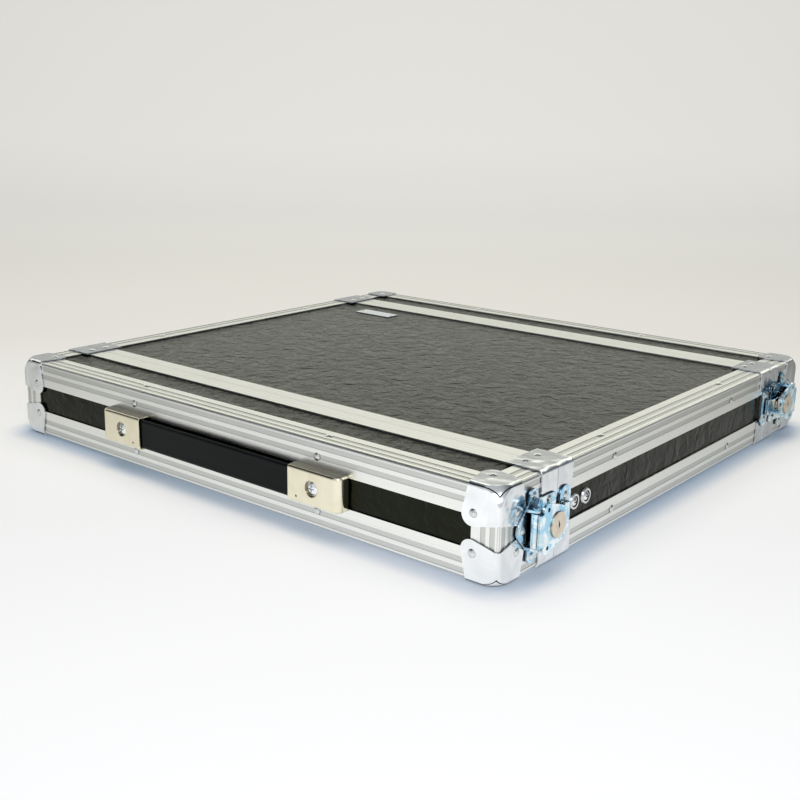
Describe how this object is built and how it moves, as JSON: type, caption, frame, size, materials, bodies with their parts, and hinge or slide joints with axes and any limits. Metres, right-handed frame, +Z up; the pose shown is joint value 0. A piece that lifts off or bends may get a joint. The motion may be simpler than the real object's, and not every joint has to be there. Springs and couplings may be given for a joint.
{
  "type": "rack case",
  "caption": "Slim one-unit rack case: laminated panels in ribbed aluminium edges, steel corners, lift-off front and rear lids with draw latches, strap handle.",
  "frame": {"origin": "centre of the bounding box at its underside, where the lower corner plates and braces stand on the floor", "axes": "+X along the case from left to right seen from the handle side, +Y from the handle lid to the rear lid, +Z up"},
  "size_m": [0.5594, 0.5214, 0.0711],
  "materials": {
    "black_laminate": "leather-grain black laminate on plywood",
    "ribbed_aluminium": "satin anodised",
    "bright_steel": "bright plated",
    "zinc_plated_steel": "blue-white zinc plated",
    "nickel": "polished nickel",
    "brass": "nickel-washed brass",
    "black_strap": "smooth black cover on a spring steel core",
    "black_painted_steel": "black powder coat",
    "grey_foam": "closed-cell foam"
  },
  "bodies": {
    "sleeve": {"body_top_panel": "black_laminate", "body_bottom_panel": "black_laminate", "body_left_panel": "black_laminate", "body_right_panel": "black_laminate", "body_edge_angles": "ribbed_aluminium", "body_front_rim": "ribbed_aluminium", "body_rear_rim": "ribbed_aluminium", "body_braces": "bright_steel", "rack_rail_left": "black_painted_steel", "rack_rail_right": "black_painted_steel", "rail_screws": "bright_steel", "rail_cup_washers": "nickel", "name_plate": "ribbed_aluminium", "body_rivets": "bright_steel", "latch_strikes": "zinc_plated_steel"},
    "front_lid": {"front_lid_face_panel": "black_laminate", "front_lid_wall_panels": "black_laminate", "front_lid_edge_angles": "ribbed_aluminium", "front_lid_rim": "ribbed_aluminium", "front_lid_braces": "bright_steel", "front_lid_corners": "bright_steel", "front_lid_rivets": "bright_steel", "front_lid_latch_bases": "zinc_plated_steel", "front_lid_latch_pins": "zinc_plated_steel", "front_lid_foam": "grey_foam", "handle_cap_left": "nickel", "handle_cap_right": "nickel", "handle_screws": "bright_steel", "handle_nuts": "zinc_plated_steel", "handle_strap_ends": "black_strap"},
    "rear_lid": {"rear_lid_face_panel": "black_laminate", "rear_lid_wall_panels": "black_laminate", "rear_lid_edge_angles": "ribbed_aluminium", "rear_lid_rim": "ribbed_aluminium", "rear_lid_braces": "bright_steel", "rear_lid_corners": "bright_steel", "rear_lid_rivets": "bright_steel", "rear_lid_latch_bases": "zinc_plated_steel", "rear_lid_latch_pins": "zinc_plated_steel", "rear_lid_foam": "grey_foam"},
    "handle_strap": {"handle_strap_grip": "black_strap"},
    "front_right_lever": {"front_right_latch_lever": "zinc_plated_steel", "front_right_lock_cylinder": "brass"},
    "front_right_claw": {"front_right_latch_claw": "zinc_plated_steel"},
    "front_right_key_plug": {"front_right_key_plug": "brass"},
    "front_left_lever": {"front_left_latch_lever": "zinc_plated_steel", "front_left_lock_cylinder": "brass"},
    "front_left_claw": {"front_left_latch_claw": "zinc_plated_steel"},
    "front_left_key_plug": {"front_left_key_plug": "brass"},
    "rear_right_lever": {"rear_right_latch_lever": "zinc_plated_steel", "rear_right_lock_cylinder": "brass"},
    "rear_right_claw": {"rear_right_latch_claw": "zinc_plated_steel"},
    "rear_right_key_plug": {"rear_right_key_plug": "brass"},
    "rear_left_lever": {"rear_left_latch_lever": "zinc_plated_steel", "rear_left_lock_cylinder": "brass"},
    "rear_left_claw": {"rear_left_latch_claw": "zinc_plated_steel"},
    "rear_left_key_plug": {"rear_left_key_plug": "brass"}
  },
  "joints": [
    {"name": "front_lid_lift_off", "type": "slide", "parent": "sleeve", "child": "front_lid", "axis": [0, -1, 0], "range_m": [0, 0.06]},
    {"name": "rear_lid_lift_off", "type": "slide", "parent": "sleeve", "child": "rear_lid", "axis": [0, 1, 0], "range_m": [0, 0.06]},
    {"name": "handle_strap_bow", "type": "slide", "parent": "front_lid", "child": "handle_strap", "axis": [0, -1, 0], "range_m": [0, 0.014], "stiffness_N_per_m": 1500},
    {"name": "front_right_lever_open", "type": "hinge", "parent": "front_lid", "child": "front_right_lever", "pos_m": [0.273, -0.21815, 0.035], "axis": [0, 0, -1], "range_deg": [0, 110]},
    {"name": "front_right_claw_swing", "type": "hinge", "parent": "front_right_lever", "child": "front_right_claw", "pos_m": [0.2706, -0.20915, 0.035], "axis": [0, 0, 1], "range_deg": [0, 24]},
    {"name": "front_right_key_turn", "type": "hinge", "parent": "front_right_lever", "child": "front_right_key_plug", "pos_m": [0.276, -0.19965, 0.035], "axis": [1, 0, 0], "range_deg": [0, 90]},
    {"name": "front_left_lever_open", "type": "hinge", "parent": "front_lid", "child": "front_left_lever", "pos_m": [-0.273, -0.21815, 0.035], "axis": [0, 0, 1], "range_deg": [0, 110]},
    {"name": "front_left_claw_swing", "type": "hinge", "parent": "front_left_lever", "child": "front_left_claw", "pos_m": [-0.2706, -0.20915, 0.035], "axis": [0, 0, -1], "range_deg": [0, 24]},
    {"name": "front_left_key_turn", "type": "hinge", "parent": "front_left_lever", "child": "front_left_key_plug", "pos_m": [-0.276, -0.19965, 0.035], "axis": [-1, 0, 0], "range_deg": [0, 90]},
    {"name": "rear_right_lever_open", "type": "hinge", "parent": "rear_lid", "child": "rear_right_lever", "pos_m": [0.273, 0.22685, 0.035], "axis": [0, 0, 1], "range_deg": [0, 110]},
    {"name": "rear_right_claw_swing", "type": "hinge", "parent": "rear_right_lever", "child": "rear_right_claw", "pos_m": [0.2706, 0.21785, 0.035], "axis": [0, 0, -1], "range_deg": [0, 24]},
    {"name": "rear_right_key_turn", "type": "hinge", "parent": "rear_right_lever", "child": "rear_right_key_plug", "pos_m": [0.276, 0.20835, 0.035], "axis": [1, 0, 0], "range_deg": [0, 90]},
    {"name": "rear_left_lever_open", "type": "hinge", "parent": "rear_lid", "child": "rear_left_lever", "pos_m": [-0.273, 0.22685, 0.035], "axis": [0, 0, -1], "range_deg": [0, 110]},
    {"name": "rear_left_claw_swing", "type": "hinge", "parent": "rear_left_lever", "child": "rear_left_claw", "pos_m": [-0.2706, 0.21785, 0.035], "axis": [0, 0, 1], "range_deg": [0, 24]},
    {"name": "rear_left_key_turn", "type": "hinge", "parent": "rear_left_lever", "child": "rear_left_key_plug", "pos_m": [-0.276, 0.20835, 0.035], "axis": [-1, 0, 0], "range_deg": [0, 90]}
  ],
  "couplings": [
    {"joint": "front_right_lever_open", "follows": "front_lid_lift_off", "rad_per_m": 31.9},
    {"joint": "front_right_claw_swing", "follows": "front_lid_lift_off", "rad_per_m": 6.7},
    {"joint": "front_left_lever_open", "follows": "front_lid_lift_off", "rad_per_m": 31.9},
    {"joint": "front_left_claw_swing", "follows": "front_lid_lift_off", "rad_per_m": 6.7},
    {"joint": "rear_right_lever_open", "follows": "rear_lid_lift_off", "rad_per_m": 31.9},
    {"joint": "rear_right_claw_swing", "follows": "rear_lid_lift_off", "rad_per_m": 6.7},
    {"joint": "rear_left_lever_open", "follows": "rear_lid_lift_off", "rad_per_m": 31.9},
    {"joint": "rear_left_claw_swing", "follows": "rear_lid_lift_off", "rad_per_m": 6.7}
  ]
}
